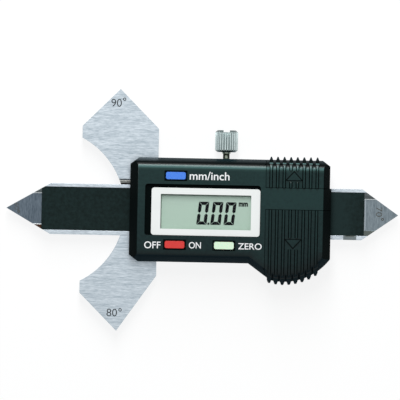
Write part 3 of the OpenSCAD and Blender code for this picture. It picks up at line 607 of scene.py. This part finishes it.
ENGRAVED = {
    "look": engraving,
    "body": "slider",
    "layer": (PLATE_TOP - 0.02, PLATE_TOP + 0.01),
    "weight": -0.003,
    "turn": 0.0,
    "radius": 0.4,
}
ETCHED = {
    "look": etching,
    "body": "beam",
    "layer": (CHANNEL_FLOOR - 0.02, CHANNEL_FLOOR + 0.01),
    "weight": -0.01,
    "turn": -90.0,
    "radius": 0.32,
}
mark("mark_upper", "90", (-29.25, -25.95, 32.4, 34.85), (-25.1, 34.8), ENGRAVED)
mark("mark_lower", "80", (-29.45, -26.15, -33.5, -31.1), (-25.2, -31.42), ENGRAVED)
mark("mark_left", "60", (-59.0, -57.6, -0.55, 1.6), (-57.7, -1.1), ETCHED)
mark("mark_right", "70", (54.65, 56.55, -0.5, 2.5), (56.7, -1.3), ETCHED)

# The raised arrows in millimetres: middle in X, width, height, and the painted shade line round them
ARROW_X = 28.645
ARROW_W = 4.5
ARROW_H = 2.5
ARROW_LINE = 0.24


def shade_rim(name, foot, height, body):
    """A dark line of painted shade round a raised arrow, which points from its foot along Y."""
    arrow = [(ARROW_X - ARROW_W / 2, foot), (ARROW_X + ARROW_W / 2, foot), (ARROW_X, foot + height)]
    middle = Vector((ARROW_X, foot + height / 3))
    growth = 1 + 3 * ARROW_LINE / abs(height)
    wide = [middle + (Vector(point) - middle) * growth for point in arrow]
    outlines = []
    for k in range(3):
        n = (k + 1) % 3
        outlines.append([tuple(wide[k]), tuple(wide[n]), arrow[n], arrow[k]])
    piece(name, prisms(name, outlines, PRINT), arrow_shade_ink, body)


shade_rim("arrow_shade_up", 10.4, ARROW_H, "port_cover")
shade_rim("arrow_shade_down", -8.3, -ARROW_H, "cell_door")

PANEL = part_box("lcd_panel")[1].z / MM
READING = (PANEL - 0.01, PANEL + 0.02)
# Digits in millimetres: size, place of their feet and left sides, lean, width and gaps of segments
DIGIT_H = 7.2
DIGIT_W = 3.25
DIGIT_FOOT = -4.1
DIGIT_LEFTS = (-1.85, 2.56, 6.72)
SLANT = 0.8
STROKE = 1.02
GAP = 0.07
# The decimal point: left side, width, height
DOT_LEFT = 1.7
DOT_W = 0.58
DOT_H = 0.65


def slanted(points, left):
    """Points of a digit, leant to the right and set in place."""
    return [(left + x + SLANT * y / DIGIT_H, y + DIGIT_FOOT) for x, y in points]


def zero(left):
    """The six lit segments of a nought."""
    mid = DIGIT_H / 2
    w, h, s, g = DIGIT_W, DIGIT_H, STROKE, GAP
    lower = [
        [(g, 0), (w - g, 0), (w - s - g, s), (s + g, s)],
        [(0, g), (s, s + g), (s, mid - s / 2 - g), (s / 2, mid - g), (0, mid - s / 2)],
        [(w, g), (w, mid - s / 2), (w - s / 2, mid - g), (w - s, mid - s / 2 - g), (w - s, s + g)],
    ]
    upper = [[(x, h - y) for x, y in reversed(points)] for points in lower]
    return [slanted(points, left) for points in lower + upper]


segments = [points for left in DIGIT_LEFTS for points in zero(left)]
dot = slanted([(0, 0), (DOT_W, 0), (DOT_W, DOT_H), (0, DOT_H)], DOT_LEFT)
piece("reading", prisms("reading", segments + [dot], READING), crystal, "slider")
unit = words("reading_unit", "mm", (11.4, 14.3, 1.8, 3.1), READING, 0.05)
piece("reading_unit", unit, crystal, "slider")


def lay_floor():
    """A floor that looks white with a faint shadow and lights the part as plain white would."""
    bm = bmesh.new()
    bmesh.ops.create_grid(bm, x_segments=8, y_segments=8, size=3.0)
    mesh = bpy.data.meshes.new("floor")
    bm.to_mesh(mesh)
    bm.free()
    floor = bpy.data.objects.new("floor", mesh)
    floor.location.z = -0.0002
    scene.collection.objects.link(floor)
    g = Graph("floor_white")
    g.tree.nodes.remove(g.shader)
    lit = g.node("BsdfDiffuse", {"Color": (0.2, 0.2, 0.2, 1.0)}).outputs[0]
    glow = g.node("Emission", {"Color": (1.0, 1.0, 1.0, 1.0), "Strength": 0.83}).outputs[0]
    both = g.node("AddShader", {0: lit, 1: glow}).outputs[0]
    plain = g.node("BsdfDiffuse", {"Color": (0.8, 0.8, 0.8, 1.0)}).outputs[0]
    shown = g.node("MixShader", {0: g.seen(), 1: plain, 2: both}).outputs[0]
    g.put(g.tree.nodes["Material Output"].inputs["Surface"], shown)
    mesh.materials.append(g.material)


def light_surround():
    """An even surround that looks white and gives a weaker, slightly blue light."""
    world = bpy.data.worlds.new("surround")
    scene.world = world
    world.use_nodes = True
    world.node_tree.nodes.clear()
    w = Nodes(world.node_tree)
    light = w.node("Background", {"Color": (0.97, 0.99, 1.0, 1.0), "Strength": 0.43}).outputs[0]
    backdrop = w.node("Background", {"Color": (1.0, 1.0, 1.0, 1.0), "Strength": 1.0}).outputs[0]
    mixed = w.node("MixShader", {0: w.seen(), 1: light, 2: backdrop}).outputs[0]
    w.node("OutputWorld", {"Surface": mixed})


def hang_lamp():
    """A soft lamp beyond the part's upper edge, aimed at its middle."""
    lamp = bpy.data.lights.new("key", "AREA")
    lamp.shape = "RECTANGLE"
    lamp.size = 0.16
    lamp.size_y = 0.62
    lamp.energy = 3.2
    holder = bpy.data.objects.new("key", lamp)
    holder.location = (-0.03, 0.45, 0.47)
    holder.rotation_euler = (-holder.location).to_track_quat("-Z", "Y").to_euler()
    holder.visible_camera = False
    scene.collection.objects.link(holder)


def set_camera():
    """Straight down on the display through a long lens, turned as the photograph is."""
    turn = math.radians(1.16)
    distance = 6.0
    # The picture is this wide at this height, in metres
    width = 0.12565
    level = 0.0085
    eye = bpy.data.cameras.new("camera")
    eye.sensor_width = 36.0
    eye.lens = eye.sensor_width * (distance - level) / width
    holder = bpy.data.objects.new("camera", eye)
    holder.location = (-0.00078, 0.00362, distance)
    holder.rotation_euler = (0.0, 0.0, turn)
    scene.collection.objects.link(holder)
    scene.camera = holder


lay_floor()
light_surround()
hang_lamp()
set_camera()
